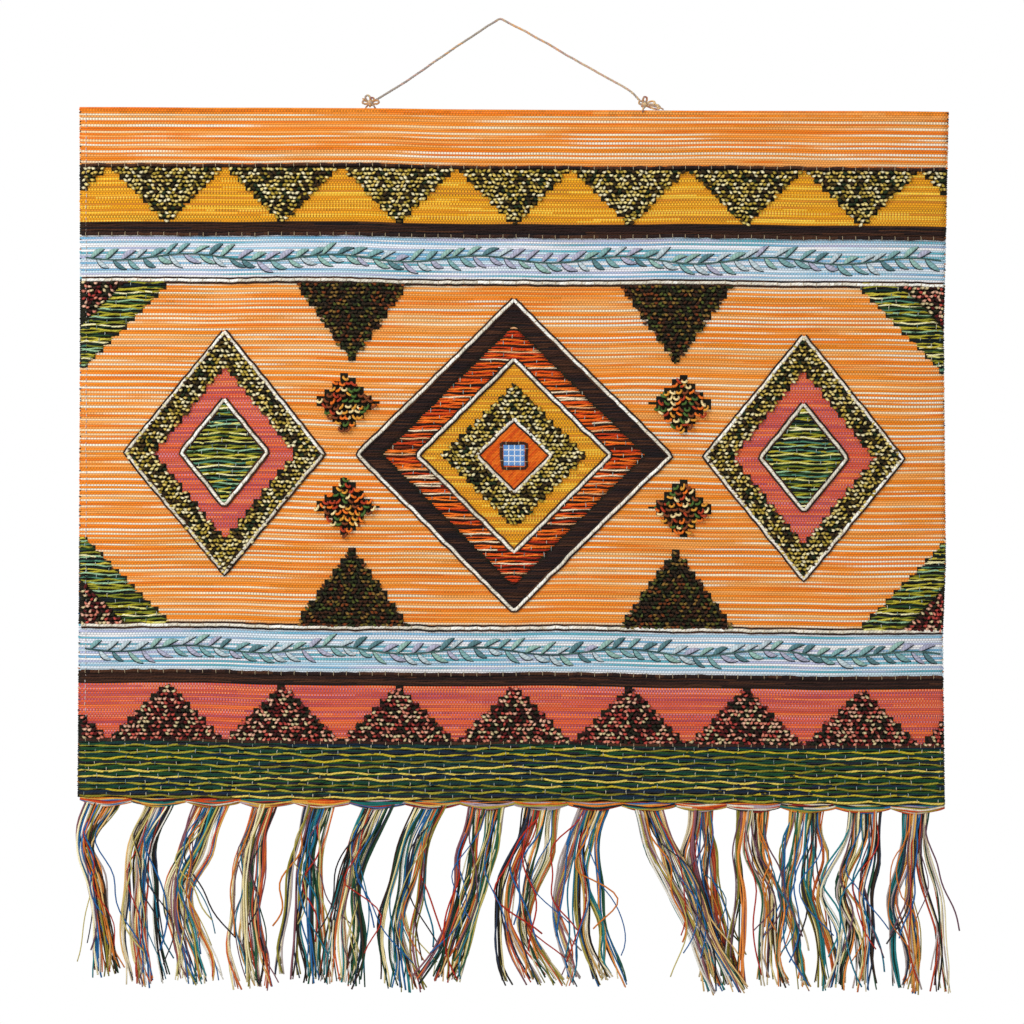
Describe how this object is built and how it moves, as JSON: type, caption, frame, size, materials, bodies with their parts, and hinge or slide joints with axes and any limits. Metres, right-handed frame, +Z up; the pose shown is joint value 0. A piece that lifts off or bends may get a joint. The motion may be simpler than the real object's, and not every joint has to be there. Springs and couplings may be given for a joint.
{
  "type": "woven wall hanging",
  "caption": "Hand-woven wall hanging with raised geometric work on its face, a long yarn fringe along the lower edge and a thin string at the top to hang it by.",
  "frame": {"origin": "underside of the hanging string at the top of its run, where it rests on the nail", "axes": "+Z up, +X to the viewer's right, the face towards -Y and the wall side towards +Y"},
  "size_m": [0.907, 0.021, 1.0086],
  "materials": {
    "woven_panel": "matt hand-woven jute and wool",
    "fringe": "matt loose plied yarn",
    "string": "matt twisted yarn"
  },
  "bodies": {
    "root": {"woven_panel": "woven_panel", "tassel_01": "fringe", "tassel_02": "fringe", "tassel_03": "fringe", "tassel_04": "fringe", "tassel_05": "fringe", "tassel_06": "fringe", "tassel_07": "fringe", "tassel_08": "fringe", "tassel_09": "fringe", "tassel_10": "fringe", "tassel_11": "fringe", "tassel_12": "fringe", "tassel_13": "fringe", "tassel_14": "fringe", "tassel_15": "fringe", "tassel_16": "fringe", "hanging_string": "string", "knot_left": "string", "knot_right": "string"}
  },
  "joints": []
}
